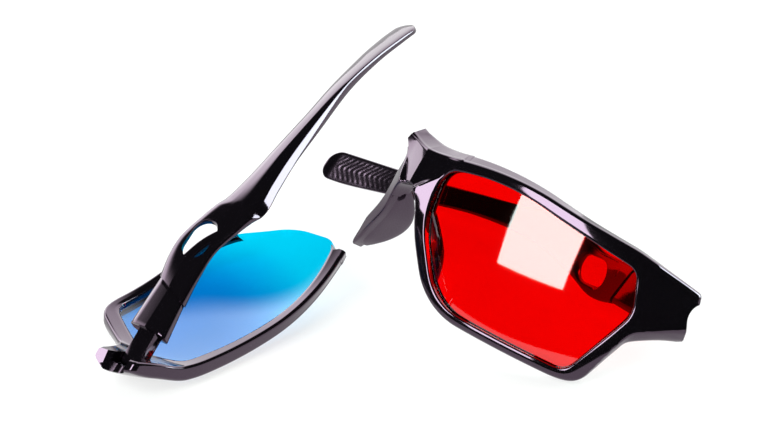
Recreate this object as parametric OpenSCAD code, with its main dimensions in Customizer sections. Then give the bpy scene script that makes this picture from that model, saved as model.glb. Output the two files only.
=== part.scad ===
// Two-colour viewing glasses, snapped in two at the bridge and lying on a table.
// The left half kept the bridge and both nose legs, the right half lost its nose leg.
// Each half is drawn upright: x runs outwards from the middle of the nose, y runs back
// to the ears, z is up from the front edge of the bridge. The front is drawn flat, as
// distance along the wrap and height, then wrapped around the face.

/* [Front] */
// Radius of the wrap around the face, seen from above
wrap_radius = 91; // [86:1:98]
// Radius of the tighter turn into the endpieces
turn_radius = 28; // [25:1:31]
// Radius of the lens from top to bottom
bulge_radius = 100; // [80:1:140]
// Height of the foremost line of the lens
bulge_level = -17; // [-22:1:-12]
// Depth of the rim from front to back
rim_depth = 4; // [3.9:0.1:5]
// Height of the brow above the lens at its lowest place
brow_height = 3.4; // [2.8:0.1:4.4]
// Extra height of the brow at the endpiece
brow_rise = 0.9; // [0.5:0.1:2]
// Rise of the brow's back edge over its front edge, beside the bridge
brow_ledge = 1.8; // [0.5:0.1:2.4]
// Extra width that squares the rim's corner at the endpiece
corner_fill = 1.2; // [0.8:0.1:1.6]
// Extra width that squares the rim's corner at the bridge
nose_fill = 2.2; // [1.8:0.1:2.8]
// Width of the rim under the lens
rim_low = 2.9; // [2.4:0.1:3.6]
// Width of the nose leg beside the lens
rim_nose = 3.9; // [3.4:0.1:4.4]
// Width of the rim at the endpiece
rim_side = 5.6; // [5:0.1:6.4]
// How far the nose edge of the rim stands forward of the lens edge
nose_lift = 2.4; // [1:0.1:3]

/* [Lens] */
// Gap between the two lens openings at the nose
bridge_gap = 15.2; // [14:0.2:17]
// Width of the lens opening along the wrap
lens_width = 63.9; // [61:0.1:66]
// Height of the lens opening
lens_height = 38.5; // [36:0.5:41]
// Thickness of the lens
lens_thickness = 1.5; // [1.2:0.1:1.6]
// Depth of the groove that holds the lens
groove_depth = 0.6; // [0.5:0.1:0.8]
// Front wall of the groove
groove_wall = 1.1; // [0.9:0.1:1.2]
// Clearance of the lens in its groove
seat_clearance = 0.1; // [0.05:0.01:0.15]

/* [Bridge and nose pads] */
// Height of the nose arch's crown below the top of the bridge
arch_drop = 9.6; // [8:0.2:11]
// Rise of the bridge's back edge over its front edge
bridge_bevel = 2.4; // [1.5:0.1:3]
// Depth of the bridge from front to back, behind the lens line
bridge_depth = 4.6; // [4:0.1:5.4]
// Depth of a nose pad behind the rim
pad_depth = 6.5; // [5:0.5:8]
// Wall of a nose pad
pad_wall = 1.8; // [1.4:0.1:2.4]
// How far a pad leans outwards for each millimetre of its depth
pad_splay = 0.4; // [0.2:0.05:0.6]

/* [Hinge] */
// Length of the endpiece past the lens, along its turn
endpiece_length = 18.2; // [17:0.1:20]
// Thickness of the endpiece at the hinge pin
endpiece_depth = 5; // [4.9:0.1:5.6]
// Thickness of the two lobes at their ends
lobe_depth = 3.6; // [3.2:0.1:4.4]
// Radius of the hinge pin
pin_radius = 0.7; // [0.6:0.05:0.9]
// Depth of the pin's axis under the outer face
pin_depth = 3.3; // [3.2:0.1:3.6]
// Distance of the pin's axis from the end of the endpiece
pin_setback = 8.7; // [8.2:0.1:9.2]
// Depth of the pin's blind end in the upper lobe
pin_seat = 1.8; // [1.2:0.1:2.2]
// Height of the temple's tongue
tongue_height = 5.4; // [4.8:0.2:5.8]
// Radius of the tongue's round end
tongue_radius = 1.7; // [1.6:0.05:1.9]
// Running clearance of the hinge pin in the tongue
pin_clearance = 0.05; // [0.03:0.01:0.08]
// Running clearance of the tongue in its slot
slot_clearance = 0.25; // [0.15:0.05:0.3]

/* [Temples] */
// Length of the hinge block behind the pin
block_length = 20; // [18:0.5:21]
// Slant of the joint between block and arm, for each millimetre of height
joint_slant = 0.36; // [0.1:0.02:0.5]
// Thickness of the hinge block at its shoulder
block_depth = 4.8; // [4.2:0.1:5.2]
// Step in from the arm to the hinge block
block_step = 0.4; // [0.2:0.1:0.6]
// Height of the tenon that holds the block in the arm
tenon_height = 6; // [5:0.5:7]
// Thickness of that tenon
tenon_width = 1.6; // [1.4:0.1:2]
// Length of that tenon
tenon_length = 4; // [3:0.5:5]
// Length of the oval hole in the arm
hole_length = 10.8; // [9:0.2:11]
// Height of the oval hole
hole_height = 6.8; // [6:0.2:7]
// Tilt of the hole, its back end lower
hole_tilt = 8; // [0:1:12]
// Distance of the hole's middle from the pin
hole_place = 35; // [34.5:0.5:36]
// Lean of the paddle's top away from the head, for each millimetre of its height
tip_lean = 0.22; // [0:0.02:0.3]
// Fold of the left temple, from straight back
left_fold = 87; // [70:0.5:95]
// Fold of the right temple, from straight back
right_fold = 98.5; // [70:0.5:101]

/* [Hidden] */
$fn = 48;
eps = 0.01;
far = 60;

// Turn of each half on the table, and the place of its bridge
left_turn = [-27.07, -3.17, -54.31];
left_place = [6.6, -0.17, 41.81];
right_turn = [87.22, -35.49, 50.47];
right_place = [-9.27, 0.07, 17.06];

// Lens opening, clockwise from its nose corner: corner, then its radius
nose_side = bridge_gap / 2;
temple_side = nose_side + lens_width;
lens_top = 3;
lens_bottom = lens_top - lens_height;
lens_corners = [
    [nose_side, lens_top - 5.2],
    [nose_side + 18.4, lens_top],
    [temple_side - 3.2, lens_top - 7],
    [temple_side, lens_top - 18],
    [temple_side - 10.9, lens_bottom],
    [nose_side + 12.9, lens_bottom + 1],
    [nose_side + 1, lens_top - 20]
];
lens_radii = [5, 65, 4, 8, 4.5, 16, 20];
lens_steps = [6, 8, 6, 5, 7, 7, 5];
// Longest straight step between two stations of the rim
station_step = 3;
lens_middle = [(nose_side + temple_side) / 2, (lens_top + lens_bottom) / 2];
brow_low_at = nose_side + 16;
brow_span = 40;

// Heights at the hinge
hinge_level = -11.3;
lobe_top = -4.8;
lobe_bottom = -18;
slot_half = tongue_height / 2 + slot_clearance;

// Fracture, seen from the front: the brow's break down to the lens, then the lower rim's
brow_break = [[9.4, 8], [9.2, 1.6], [10.1, -0.2], [8.7, -2], [9.3, -3.4], [8.2, -6]];
rim_break = [[14, -22.8], [15.9, -25.4], [15.5, -27.4], [17, -29.2], [16.4, -36]];

// Wrap of the flat front
turn_start = temple_side - 1.2;
turn_start_angle = turn_start / wrap_radius * 180 / PI;
turn_corner = wrap_radius * [sin(turn_start_angle), 1 - cos(turn_start_angle)];
endpiece_end = turn_start + endpiece_length;
function wrap_angle(s) = s < turn_start
    ? s / wrap_radius * 180 / PI
    : turn_start_angle + (s - turn_start) / turn_radius * 180 / PI;
function wrap_place(s) = let (a = wrap_angle(s)) s < turn_start
    ? wrap_radius * [sin(a), 1 - cos(a)]
    : turn_corner + turn_radius * [sin(a) - sin(turn_start_angle), cos(turn_start_angle) - cos(a)];
function bulge(z) = pow(z - bulge_level, 2) / (2 * bulge_radius);
function wrapped(s, depth) = let (a = wrap_angle(s)) wrap_place(s) + depth * [-sin(a), cos(a)];
// A point of the front: distance along the wrap, height, depth behind the front face
function on_front(s, z, depth) = let (p = wrapped(abs(s), depth + bulge(z))) [sign(s) * p.x, p.y, z];

// Outlines with rounded corners: each station is a point and its outward direction
function unit(v) = v / norm(v);
function left_of(v) = [-v.y, v.x];
function round_corner(before, corner, after, radius, steps) =
    let (
        into = unit(corner - before),
        away = unit(after - corner),
        turn = atan2(into.x * away.y - into.y * away.x, into * away),
        start = corner - into * radius * tan(abs(turn) / 2),
        centre = start - left_of(into) * radius,
        first = atan2(left_of(into).y, left_of(into).x)
    )
    [for (i = [0:steps]) let (a = first + turn * i / steps, out = [cos(a), sin(a)])
        [centre + radius * out, out]];
function straight(from, to) =
    let (count = max(1, ceil(norm(to[0] - from[0]) / station_step)))
    [for (i = [1:1:count - 1]) [from[0] + (to[0] - from[0]) * i / count, from[1]]];
function outline(corners, radii, steps) =
    let (
        n = len(corners),
        arcs = [for (i = [0:n - 1])
            round_corner(corners[(i + n - 1) % n], corners[i], corners[(i + 1) % n], radii[i], steps[i])]
    )
    [for (i = [0:n - 1]) each concat(arcs[i], straight(arcs[i][len(arcs[i]) - 1], arcs[(i + 1) % n][0]))];
lens_outline = outline(lens_corners, lens_radii, lens_steps);

// Share of each side of the rim at a station, from its outward direction
function share(v) = pow(max(v, 0), 2);
function rim_width(station) =
    let (p = station[0], out = station[1])
    share(out.y) * (brow_height + brow_rise * pow((p.x - brow_low_at) / brow_span, 2))
    + share(-out.y) * rim_low + share(-out.x) * rim_nose + share(out.x) * rim_side
    + corner_fill * share(2 * max(out.x, 0) * max(out.y, 0))
    + nose_fill * share(2 * max(-out.x, 0) * max(out.y, 0));
function rim_lift(station) = nose_lift * share(-station[1].x);
function rim_ledge(station) =
    brow_ledge * share(station[1].y) * share(1 - (station[0].x - nose_side) / lens_width);

// Solid between rings of points. Each ring has as many points; caps close the two ends.
function ring_faces(rings, points, closed) =
    [for (i = [0:rings - (closed ? 1 : 2)]) for (j = [0:points - 1])
        let (
            k = (j + 1) % points,
            a = i * points + j,
            b = i * points + k,
            c = (i + 1) % rings * points + k,
            d = (i + 1) % rings * points + j
        )
        each [[a, b, c], [a, c, d]]];
function cap_faces(points, last) =
    concat(
        [for (j = [1:points - 2]) [0, j + 1, j]],
        [for (j = [1:points - 2]) [last, last + j, last + j + 1]]
    );
module skin(rings, closed = false) {
    points = len(rings[0]);
    count = len(rings);
    faces = ring_faces(count, points, closed);
    polyhedron(
        [for (ring = rings) each ring],
        closed ? faces : concat(faces, cap_faces(points, (count - 1) * points))
    );
}

// Section of the rim at a station: steps outwards from the lens edge, and depths
function rim_section(station) =
    let (
        w = rim_width(station),
        lift = rim_lift(station),
        ledge = rim_ledge(station),
        front = w - ledge / 2,
        groove_back = groove_wall + lens_thickness + 2 * seat_clearance
    )
    [
        [0, 0.45], [0.55, 0], [front / 2, -lift / 2 - 0.3], [front - 1.2, -lift], [front - 0.3, 0.5 - lift],
        [front, 1.2 - lift], [w + ledge / 2, rim_depth - 0.9], [w + ledge / 2 - 0.7, rim_depth],
        [1.4, rim_depth], [0, rim_depth - 0.8],
        [0, groove_back], [groove_depth, groove_back], [groove_depth, groove_wall], [0, groove_wall]
    ];
module rim() {
    skin([for (station = lens_outline)
        [for (q = rim_section(station))
            let (p = station[0] + q[0] * station[1])
            on_front(p.x, p.y, q[1])]], closed = true);
}

// Lens: rings from its middle out to the groove along the back, then in again along the front
module lens() {
    edge = groove_depth - seat_clearance;
    front = groove_wall + seat_clearance;
    shares = [0.02, 0.3, 0.55, 0.78, 1];
    skin([for (side = [1, 0]) for (k = [0:len(shares) - 1])
        let (f = shares[side == 1 ? k : len(shares) - 1 - k], depth = front + side * lens_thickness)
        [for (station = lens_outline)
            let (p = lens_middle + f * (station[0] + edge * station[1] - lens_middle))
            on_front(p.x, p.y, depth)]]);
}

// Bridge plate: from rim to rim, arched over the nose
bridge_reach = nose_side - 2;
bridge_steps = 10;
module bridge() {
    skin([for (i = [0:bridge_steps])
        let (
            s = bridge_reach * (2 * i / bridge_steps - 1) + eps,
            arch = -arch_drop - 0.17 * s * s,
            lift = nose_lift * (1 - 0.02 * s * s)
        )
        [
            on_front(s, 0.3, 0.5 - lift), on_front(s, bridge_bevel, bridge_depth - 0.6),
            on_front(s, bridge_bevel - 0.8, bridge_depth), on_front(s, arch + 0.8, bridge_depth),
            on_front(s, arch, bridge_depth - 1), on_front(s, arch, 0.8 - lift),
            on_front(s, arch + 0.8, -lift), on_front(s, -0.5, -lift)
        ]]);
}

// Nose pad: a leaning wing behind the nose leg, deepest at its middle
pad_corners = [
    [nose_side + 0.3, lens_top - 12],
    [nose_side + 0.8, lens_top - 19.5],
    [nose_side + 7.2, lens_bottom + 8.6]
];
pad_steps = 12;
function pad_place(t) =
    let (a = pad_corners[0], b = pad_corners[1], c = pad_corners[2])
    a * pow(1 - t, 2) + 2 * b * t * (1 - t) + c * pow(t, 2);
function pad_out(t) =
    let (a = pad_corners[0], b = pad_corners[1], c = pad_corners[2])
    -left_of(unit((b - a) * (1 - t) + (c - b) * t));
module nose_pad() {
    skin([for (i = [0:pad_steps])
        let (
            t = i / pad_steps,
            out = pad_out(t),
            edge = pad_place(t) + (rim_nose - 0.4) * out,
            back = pad_depth * sin(180 * (0.04 + 0.96 * t)),
            lean = edge - pad_splay * back * out
        )
        [
            on_front(edge.x, edge.y, rim_depth - 2.4),
            on_front(edge.x - pad_wall * out.x, edge.y - pad_wall * out.y, rim_depth - 2.4),
            on_front(lean.x - pad_wall * out.x, lean.y - pad_wall * out.y, rim_depth + back),
            on_front(lean.x, lean.y, rim_depth + back)
        ]]);
}

// Endpiece: top and bottom edge along the wrap, then the hinge's slot and pin hole
endpiece_start = temple_side + 0.3;
endpiece_steps = 10;
pin_station = endpiece_end - pin_setback;
pin_at = wrapped(pin_station, pin_depth);
end_at = wrapped(endpiece_end, 0);
tongue_lean = 14;
function endpiece_top(t) = 0.5 - 4.2 * t - 1.3 * t * t;
function endpiece_bottom(t) = lobe_bottom - 5.4 * pow(1 - t, 2);
function endpiece_back(s) = s < pin_station
    ? rim_depth + (endpiece_depth - rim_depth) * (s - endpiece_start) / (pin_station - endpiece_start)
    : endpiece_depth + (lobe_depth - endpiece_depth) * pow((s - pin_station) / pin_setback, 2);
module endpiece() {
    skin([for (i = [0:endpiece_steps])
        let (
            t = i / endpiece_steps,
            s = endpiece_start + (endpiece_end - endpiece_start) * t,
            top = endpiece_top(t),
            low = endpiece_bottom(t),
            back = endpiece_back(s)
        )
        [
            on_front(s, top, 1.2), on_front(s, top, back - 0.8), on_front(s, top - 0.8, back),
            on_front(s, low + 0.8, back), on_front(s, low, back - 0.8), on_front(s, low, 1.2),
            on_front(s, low + 1.6, 0), on_front(s, top - 1.6, 0)
        ]]);
}
module hinge_cuts() {
    wall = tongue_radius + slot_clearance;
    translate([pin_at.x, pin_at.y, hinge_level]) {
        linear_extrude(2 * slot_half, center = true) {
            circle(wall);
            rotate(-tongue_lean)
                translate([-far / 2, 0])
                    square([far / 2 + wall, far / 2]);
            translate([-far / 2, -wall])
                square(far / 2);
        }
        translate([0, 0, slot_half + pin_seat - far])
            cylinder(r = pin_radius, h = far);
    }
    translate([end_at.x, end_at.y + 1.2, hinge_level])
        rotate([0, 90, 0])
            cylinder(r = 4.4, h = far / 2, center = true);
}

// The part of a rim that stays with the bridge, seen from the front
module nose_cut() {
    translate([0, far, 0])
        rotate([90, 0, 0])
            linear_extrude(2 * far)
                polygon(concat(brow_break, rim_break, [[0, -36], [-6, -12], [-6, 8]]));
}
module hinge_pin() {
    translate([pin_at.x, pin_at.y, lobe_bottom + 0.4])
        cylinder(r = pin_radius, h = hinge_level + slot_half + pin_seat - lobe_bottom - 0.4);
}

// Temple, drawn open with the pin at its origin: y runs back along it
// Stations: distance from the pin, outward place, top edge, bottom edge, thickness
shoulder = wrapped(endpiece_end, lobe_depth).y - pin_at.y + 2 * slot_clearance;
arm_stations = [
    [block_length, 4.2, -7, -18.8, 4.2],
    [27, 5.3, -8, -20.4, 2.8],
    [34, 6, -8.5, -20.8, 2.2],
    [42, 6.3, -6.6, -19, 2.8],
    [50, 6, -5.2, -17, 4.4],
    [58, 5.4, -7.2, -16.4, 4.6],
    [68, 4.2, -9.6, -16.8, 4.2],
    [82, 1.4, -12.4, -18.6, 4],
    [96, -2.2, -15.8, -21.8, 3.2],
    [110, -7, -19, -25.6, 2.6],
    [120, -11.2, -21, -28.4, 2.4],
    [126, -13.8, -22, -29.2, 2.2],
    [129, -15.2, -23, -28.6, 1.6]
];
arm_steps = 3;
lean_start = 60;
lean_span = 65;
arm_middle = (arm_stations[0][2] + arm_stations[0][3]) / 2;
// Section of the arm: shares of its thickness and height, a crease along the outer face
arm_section = [
    [0.1, 0.5], [-0.3, 0.5], [-0.5, 0.4], [-0.5, 0], [-0.5, -0.4], [-0.3, -0.5],
    [0.1, -0.5], [0.3, -0.45], [0.42, -0.32], [0.5, 0], [0.42, 0.32], [0.3, 0.45]
];
function spline(list, t) =
    let (
        i = min(floor(t), len(list) - 2),
        f = t - i,
        a = list[max(i - 1, 0)],
        b = list[i],
        c = list[i + 1],
        d = list[min(i + 2, len(list) - 1)]
    )
    b + f * (c - a) / 2 + f * f * (a - 2.5 * b + 2 * c - d / 2) + f * f * f * (1.5 * (b - c) + (d - a) / 2);
function arm_ring(station, slant) =
    let (
        middle = (station[2] + station[3]) / 2,
        height = station[2] - station[3],
        lean = tip_lean * share((station[0] - lean_start) / lean_span)
    )
    [for (q = arm_section) [
        station[1] + q[0] * station[4] + lean * q[1] * height,
        station[0] - slant * q[1] * height,
        middle + q[1] * height
    ]];
module tenon(clearance) {
    translate([
        arm_stations[0][1] - tenon_width / 2 - clearance,
        block_length - 1,
        arm_middle - tenon_height / 2 - clearance
    ])
        cube([tenon_width + 2 * clearance, tenon_length + 1 + clearance, tenon_height + 2 * clearance]);
}
module temple_arm() {
    hole_station = spline(arm_stations, 2);
    last = len(arm_stations) - 1;
    difference() {
        skin([for (i = [0:arm_steps * last])
            arm_ring(spline(arm_stations, i / arm_steps), joint_slant * max(0, 1 - i / arm_steps / 2))]);
        translate([0, hole_place, (hole_station[2] + hole_station[3]) / 2])
            rotate([-hole_tilt, 0, 0])
                rotate([0, 90, 0])
                    linear_extrude(far, center = true) {
                        square([hole_height, hole_length - hole_height], center = true);
                        for (side = [-1, 1])
                            translate([0, side * (hole_length - hole_height) / 2])
                                circle(hole_height / 2);
                    }
        tenon(seat_clearance);
    }
}
module hinge_block() {
    outer = end_at.x - pin_at.x - 0.3;
    front = [shoulder, outer - block_depth / 2, lobe_top - 0.6, lobe_bottom + 0.4, block_depth];
    back = arm_stations[0] + block_step * [0, 0, -1, 1, -2];
    difference() {
        union() {
            skin([arm_ring(front, 0), arm_ring(back, joint_slant)]);
            translate([0, 0, hinge_level - tongue_height / 2])
                linear_extrude(tongue_height) {
                    circle(tongue_radius);
                    rotate(-tongue_lean)
                        translate([-tongue_radius, 0])
                            square([2 * tongue_radius, shoulder + 2]);
                }
            tenon(0);
        }
        translate([0, 0, -far / 2])
            cylinder(r = pin_radius + pin_clearance, h = far);
    }
}

// The two halves as they lie
module left_half() {
    translate(left_place)
        rotate(left_turn)
            children();
}
module right_half() {
    translate(right_place)
        rotate(right_turn)
            mirror([1, 0, 0])
                children();
}
module folded(angle) {
    translate([pin_at.x, pin_at.y, 0])
        rotate([0, 0, angle])
            children();
}

module left_front() {
    color("black") left_half() difference() {
        union() {
            rim();
            endpiece();
            bridge();
            nose_pad();
            mirror([1, 0, 0]) {
                intersection() {
                    rim();
                    nose_cut();
                }
                nose_pad();
            }
        }
        hinge_cuts();
    }
}
module right_front() {
    color("black") right_half() difference() {
        union() {
            rim();
            endpiece();
        }
        hinge_cuts();
        nose_cut();
    }
}
module left_lens() {
    color("red") left_half() lens();
}
module right_lens() {
    color("deepskyblue") right_half() lens();
}
module left_hinge_pin() {
    color("goldenrod") left_half() hinge_pin();
}
module right_hinge_pin() {
    color("goldenrod") right_half() hinge_pin();
}
module left_hinge_block() {
    color("black") left_half() folded(left_fold) hinge_block();
}
module right_hinge_block() {
    color("black") right_half() folded(right_fold) hinge_block();
}
module left_temple() {
    color("black") left_half() folded(left_fold) temple_arm();
}
module right_temple() {
    color("black") right_half() folded(right_fold) temple_arm();
}

left_front();
left_lens();
left_hinge_pin();
left_hinge_block();
left_temple();
right_front();
right_lens();
right_hinge_pin();
right_hinge_block();
right_temple();
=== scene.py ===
import bpy
import numpy as np
from mathutils import Matrix


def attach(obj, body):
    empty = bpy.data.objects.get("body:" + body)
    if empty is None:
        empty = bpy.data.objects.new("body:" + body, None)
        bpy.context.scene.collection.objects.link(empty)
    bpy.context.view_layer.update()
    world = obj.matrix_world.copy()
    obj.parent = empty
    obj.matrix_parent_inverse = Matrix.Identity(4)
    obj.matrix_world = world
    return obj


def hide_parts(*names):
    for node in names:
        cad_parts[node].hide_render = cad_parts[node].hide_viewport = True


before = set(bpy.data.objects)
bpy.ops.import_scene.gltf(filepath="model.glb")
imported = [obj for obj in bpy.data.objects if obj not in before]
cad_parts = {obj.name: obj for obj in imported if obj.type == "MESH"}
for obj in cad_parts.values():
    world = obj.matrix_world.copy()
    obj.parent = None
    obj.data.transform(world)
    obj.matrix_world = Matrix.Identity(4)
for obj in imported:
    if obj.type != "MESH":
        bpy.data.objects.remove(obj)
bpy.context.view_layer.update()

# Both halves are shaped upright in millimetres: x out from the nose, y back to the ears, z up
layout = dict(
    redTurn=(-27.07, -3.17, -54.31), redPlace=(6.6, -0.17, 41.81), redFold=87.0,
    cyanTurn=(87.22, -35.49, 50.47), cyanPlace=(-9.27, 0.07, 17.06), cyanFold=98.5,
)
front = dict(
    wrapRadius=91.0, turnRadius=28.0, turnBlend=9.3, bulgeRadius=100.0, bulgeLevel=-17.0,
    rimDepth=4.0, browHeight=3.4, browRise=0.9, browLedge=1.8, cornerFill=0.3, noseFill=2.2,
    rimLow=2.9, rimNose=3.9, rimSide=5.6, noseLift=2.4,
    noseSide=7.6, lensWidth=63.9, lensTop=3.0, lensHeight=38.5,
    endLength=18.2, endDepth=5.0, lobeDepth=3.6, pinDepth=3.3, pinSetback=8.7, pinSeat=1.8,
    bridgeTop=0.7, bridgeBevel=2.4, bridgeDepth=4.6, archDrop=9.6, bridgeReach=5.6,
    bridgeJoin=12.0, browSlope=0.2, browFore=2.55, browBack=3.93,
    hingeLevel=-11.3, lobeTop=-4.8, lobeBottom=-18.0, pinRadius=0.7,
    tongueHeight=5.4, tongueRadius=1.7, tongueLean=14.0, slotClearance=0.25,
    lipRound=0.55, lipDrop=0.45, edgeRound=0.7, backRound=0.8, backDrop=0.9, seatRound=1.4, seatDrop=0.8,
    liftWidth=(12.0, 5.0), liftCorner=0.12, liftSlant=0.034, crownRise=0.3, endTilt=0.16, noseTilt=0.09,
    facetWidth=3.5, facetSlope=0.75, facetRound=0.15, cornerFlat=0.25, endRound=0.8, wrapShift=58.0,
    grooveDepth=0.6, grooveWall=1.1, grooveBack=2.8, notchRadius=4.4, notchSetback=1.2,
)
templeSide = front["noseSide"] + front["lensWidth"]
lensBottom = front["lensTop"] - front["lensHeight"]
lensMiddle = np.array([(front["noseSide"] + templeSide) / 2, (front["lensTop"] + lensBottom) / 2])
turnStart = templeSide - 1.2
endStart = templeSide + 0.3
endStop = turnStart + front["endLength"]
pinStation = endStop - front["pinSetback"]


# Smooth step from 0 at a to 1 at b
def ramp(x, a, b):
    t = np.clip((x - a) / (b - a), 0, 1)
    return t * t * (3 - 2 * t)


# Running sum by trapezoids: the mean of two neighbours times the step
def runningSum(values, step):
    return np.r_[0, np.cumsum((values[1:] + values[:-1]) / 2) * step]


# Curve of the wrap seen from above: one over the wrap radius, rising evenly to one over the turn radius
# around the place where the turn starts, then summed to angles and places; the sums end where two plain
# arcs would end
def wrapCurve():
    big, small, reachBack = front["wrapRadius"], front["turnRadius"], front["turnBlend"]
    s = np.linspace(0, 110, 11001)  # past the endpiece, in steps of a hundredth
    step = s[1] - s[0]
    curve = 1 / big + (1 / small - 1 / big) * np.clip((s - turnStart + reachBack) / (2 * reachBack), 0, 1)
    angle = runningSum(curve, step)
    first, last = turnStart / big, turnStart / big + reachBack / small
    endX = big * np.sin(first) + small * (np.sin(last) - np.sin(first))
    endY = big * (1 - np.cos(first)) + small * (np.cos(first) - np.cos(last))
    x, y = runningSum(np.cos(angle), step), runningSum(np.sin(angle), step)
    at = turnStart + reachBack
    k = ramp(s, front["wrapShift"], at)
    return s, angle, x + k * (endX - np.interp(at, s, x)), y + k * (endY - np.interp(at, s, y))


wrapRun, wrapTurn, wrapX, wrapY = wrapCurve()


# Point of the wrap at distance s: the curve's place, then a step of depth along the inward normal
def wrapped(s, depth):
    a = np.interp(s, wrapRun, wrapTurn)
    x, y = np.interp(s, wrapRun, wrapX), np.interp(s, wrapRun, wrapY)
    return x - depth * np.sin(a), y + depth * np.cos(a)


# Flat pattern to space: the bulge adds the square of the height over twice the bulge radius to the depth
def onFront(s, z, depth):
    s, z, depth = np.broadcast_arrays(np.asarray(s, float), z, depth)
    x, y = wrapped(np.abs(s), depth + (z - front["bulgeLevel"]) ** 2 / (2 * front["bulgeRadius"]))
    return np.stack([np.sign(s) * x, y, z], -1)


pinAt = np.array(wrapped(np.array(pinStation), front["pinDepth"]))
endAt = np.array(wrapped(np.array(endStop), 0.0))


# Direction at each angle, as a cosine and a sine
def unit(angles):
    return np.stack([np.cos(angles), np.sin(angles)], -1)


# Flat points turned anticlockwise about the origin
def turned(line, angle):
    return line @ np.array([[np.cos(angle), np.sin(angle)], [-np.sin(angle), np.cos(angle)]])


# Closed line with rounded corners: an arc of each radius touching both sides of its corner
def roundedLine(corners, radii, perArc=24):
    corners = np.asarray(corners, float)
    into = corners - np.roll(corners, 1, 0)
    into /= np.linalg.norm(into, axis=1, keepdims=True)
    away = np.roll(into, -1, 0)
    turn = np.arctan2(into[:, 0] * away[:, 1] - into[:, 1] * away[:, 0], (into * away).sum(1))
    radii = np.asarray(radii, float)
    start = corners - into * (radii * np.tan(np.abs(turn) / 2))[:, None]
    normal = np.stack([-into[:, 1], into[:, 0]], 1)
    centre = start - normal * radii[:, None]
    angles = np.arctan2(normal[:, 1], normal[:, 0])[:, None] + turn[:, None] * np.linspace(0, 1, perArc)
    return (centre[:, None] + radii[:, None, None] * unit(angles)).reshape(-1, 2)


# Even steps along a line by its own length
def evenSteps(line, count, closed=True):
    loop = np.vstack([line, line[:1]]) if closed else line
    length = np.r_[0, np.cumsum(np.linalg.norm(np.diff(loop, axis=0), axis=1))]
    at = np.linspace(0, length[-1], count, endpoint=not closed)
    return np.stack([np.interp(at, length, loop[:, k]) for k in range(2)], 1)


# Mean over neighbours with bell-shaped weights, around a closed line
def softened(values, width):
    half = int(3 * width) + 1
    weights = np.exp(-0.5 * (np.arange(-half, half + 1) / width) ** 2)
    steps = range(-half, half + 1)
    return sum(w * np.roll(values, k, 0) for w, k in zip(weights / weights.sum(), steps))


# The larger of two lengths, with a fillet of the given size where they cross
def largerSoft(a, b, fillet):
    h = np.maximum(fillet - np.abs(a - b), 0) / fillet
    return np.maximum(a, b) + h * h * fillet / 4


# Distance from the lens middle to a line at each angle, nothing past the ends of an open line
def reach(line, angles, closed=False):
    away = line - lensMiddle
    bearing = np.unwrap(np.arctan2(away[:, 1], away[:, 0]))
    length = np.linalg.norm(away, axis=1)
    if closed:
        return np.interp(angles, bearing, length, period=2 * np.pi)
    order = np.argsort(bearing)
    bearing, length = bearing[order], length[order]
    ahead = (angles - bearing[0]) % (2 * np.pi) + bearing[0]
    return np.where(ahead <= bearing[-1] + 1e-9, np.interp(ahead, bearing, length), 0.0)


lensCorners = np.array([
    [front["noseSide"], front["lensTop"] - 5.2], [front["noseSide"] + 18.4, front["lensTop"]],
    [templeSide - 3.2, front["lensTop"] - 7], [templeSide, front["lensTop"] - 18],
    [templeSide - 10.9, lensBottom], [front["noseSide"] + 12.9, lensBottom + 1],
    [front["noseSide"] + 1, front["lensTop"] - 20],
])
lensLine = softened(evenSteps(roundedLine(lensCorners, [5, 65, 4, 8, 4.5, 16, 20]), 1440), 7)
lensRun = np.roll(lensLine, -1, 0) - np.roll(lensLine, 1, 0)
lensOut = np.stack([-lensRun[:, 1], lensRun[:, 0]], 1) / np.linalg.norm(lensRun, axis=1, keepdims=True)


# Share of a side: the square of the outward direction's part towards it
def share(v):
    return np.maximum(v, 0) ** 2


# Width of the rim: the widths of its four sides weighted by their shares, plus a fill in two corners
def rimWidth(p, out):
    x, y = out[:, 0], out[:, 1]
    brow = front["browHeight"] + front["browRise"] * ((p[:, 0] - front["noseSide"] - 16) / 40) ** 2
    return (share(y) * brow + share(-y) * front["rimLow"] + share(-x) * front["rimNose"]
            + share(x) * front["rimSide"]
            + front["cornerFill"] * share(2 * np.maximum(x, 0) * np.maximum(y, 0))
            + front["noseFill"] * share(2 * np.maximum(-x, 0) * np.maximum(y, 0)))


rimOut = rimWidth(lensLine, lensOut)
fromNose = (lensLine[:, 0] - front["noseSide"]) / front["lensWidth"]
rimLedge = front["browLedge"] * share(lensOut[:, 1]) * share(1 - fromNose)
rimLift = softened(front["noseLift"] * share(-lensOut[:, 0]), 26)
stretch = np.linspace(-0.3, 1, 240)
endTop = np.stack([endStart + (endStop - endStart) * stretch,
                   -0.55 - 3.4 * stretch - 0.75 * stretch ** 2], 1)  # starts inside the rim
endLow = np.stack([endTop[:, 0], front["lobeBottom"] - 5.4 * (1 - stretch) ** 2], 1)
endRound = front["endRound"]
intoEnd = np.clip(endRound - endStop + endTop[:, 0], 0, endRound)
endCorner = endRound - np.sqrt(endRound ** 2 - intoEnd ** 2)  # quarter circles at its two corners
endTop[:, 1] -= endCorner
endLow[:, 1] += endCorner
endLine = np.vstack([endTop, evenSteps(np.array([endTop[-1], endLow[-1]]), 120, False), endLow[::-1]])
archSide = np.linspace(0, front["bridgeReach"], 120)
archLine = np.stack([archSide, -front["archDrop"] - 0.17 * archSide ** 2], 1)


# Outline of the bridge's half: its top is a cubic with no slope at the middle of the nose that joins the brow
# at a given place and slope, then it runs down and out along the arch
def bridgeLine(top, brow):
    side = np.linspace(front["bridgeJoin"], 0, 160)
    width, rise, slope = front["bridgeJoin"], brow - top, front["browSlope"]
    bend = (3 * rise - slope * width) / width ** 2
    twist = (slope - 2 * bend * width) / (3 * width ** 2)
    across = np.stack([side, top + bend * side ** 2 + twist * side ** 3], 1)
    return across, np.vstack([evenSteps(np.array([across[-1], archLine[0]]), 160, False), archLine])


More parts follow.
